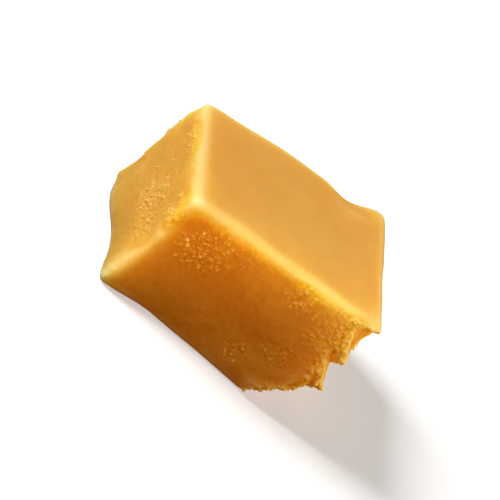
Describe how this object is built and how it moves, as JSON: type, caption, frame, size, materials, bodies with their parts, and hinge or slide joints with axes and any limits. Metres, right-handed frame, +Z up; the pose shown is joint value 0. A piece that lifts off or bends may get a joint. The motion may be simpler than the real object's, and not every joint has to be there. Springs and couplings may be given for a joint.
{
  "type": "fudge cube",
  "caption": "Cube of caramel fudge cut from a slab, with a smooth top, grainy knife-cut sides, soft rounded edges, one crumbled upright edge and a broken lower corner.",
  "frame": {"origin": "centre of the cube's base, on the surface that it rests on", "axes": "+X along the longest side, towards the end with the crumbled edge; -Y out of the grainy front cut; +Z up, out of the smooth slab top"},
  "size_m": [0.0344, 0.027, 0.0207],
  "materials": {
    "fudge": "satin, slightly translucent crystalline fudge, paler along its edges"
  },
  "bodies": {
    "root": {"fudge_cube": "fudge"}
  },
  "joints": []
}
